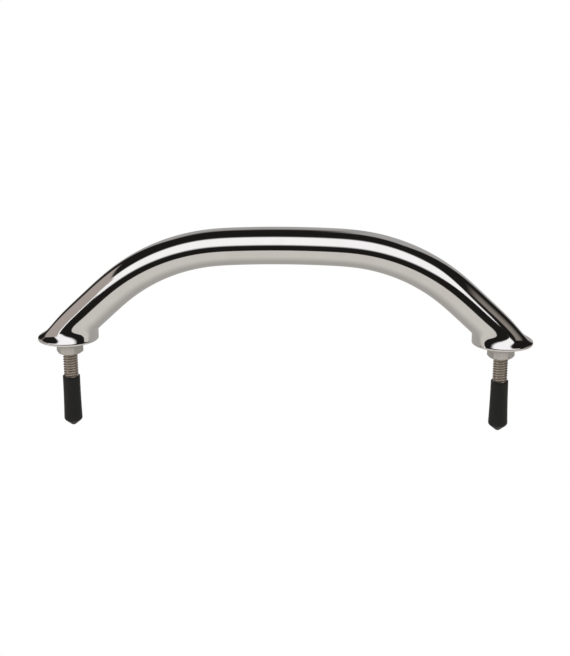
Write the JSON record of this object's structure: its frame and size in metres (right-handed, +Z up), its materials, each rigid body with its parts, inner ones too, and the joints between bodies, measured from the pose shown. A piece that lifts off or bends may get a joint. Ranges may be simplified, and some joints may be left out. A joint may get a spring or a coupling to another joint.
{
  "type": "grab rail",
  "caption": "Low arched grab rail in mirror-polished stainless oval tube, on round flared feet with threaded mounting studs, washers, nuts and black vinyl thread caps.",
  "frame": {"origin": "midway between the axes of the two studs, on the deck plane that the undersides of the feet stand on", "axes": "+X along the rail from the left foot to the right one, +Y across the rail, +Z up through the crown; the studs point along -Z"},
  "size_m": [0.2654, 0.0324, 0.1117],
  "materials": {
    "polished_stainless": "mirror polished stainless steel",
    "satin_stainless": "plain machined stainless steel, satin",
    "threaded_stainless": "rolled thread, stainless steel, slightly dull",
    "black_vinyl": "soft dipped vinyl, matt"
  },
  "bodies": {
    "root": {"rail_tube": "polished_stainless", "left_foot": "polished_stainless", "right_foot": "polished_stainless", "left_seam_weld": "polished_stainless", "right_seam_weld": "polished_stainless", "left_stud_plate": "satin_stainless", "right_stud_plate": "satin_stainless", "left_stud": "threaded_stainless", "right_stud": "threaded_stainless", "left_stud_weld": "satin_stainless", "right_stud_weld": "satin_stainless"},
    "left_washer": {"left_washer": "satin_stainless"},
    "left_nut": {"left_nut": "satin_stainless"},
    "left_thread_cap": {"left_thread_cap": "black_vinyl"},
    "right_washer": {"right_washer": "satin_stainless"},
    "right_nut": {"right_nut": "satin_stainless"},
    "right_thread_cap": {"right_thread_cap": "black_vinyl"}
  },
  "joints": [
    {"name": "left_nut_run", "type": "slide", "parent": "root", "child": "left_washer", "axis": [0, 0, -1], "range_m": [0, 0.01271]},
    {"name": "left_nut_turn", "type": "hinge", "parent": "left_washer", "child": "left_nut", "pos_m": [-0.1159, 0, -0.0047], "axis": [0, 0, -1], "range_deg": [0, 3240]},
    {"name": "left_cap_pull", "type": "slide", "parent": "root", "child": "left_thread_cap", "axis": [0, 0, -1], "range_m": [0, 0.06]},
    {"name": "right_nut_run", "type": "slide", "parent": "root", "child": "right_washer", "axis": [0, 0, -1], "range_m": [0, 0.01271]},
    {"name": "right_nut_turn", "type": "hinge", "parent": "right_washer", "child": "right_nut", "pos_m": [0.1159, 0, -0.0047], "axis": [0, 0, -1], "range_deg": [0, 3240]},
    {"name": "right_cap_pull", "type": "slide", "parent": "root", "child": "right_thread_cap", "axis": [0, 0, -1], "range_m": [0, 0.06]}
  ],
  "couplings": [
    {"joint": "left_nut_run", "follows": "left_nut_turn", "m_per_rad": 0.00022458},
    {"joint": "right_nut_run", "follows": "right_nut_turn", "m_per_rad": 0.00022458}
  ]
}
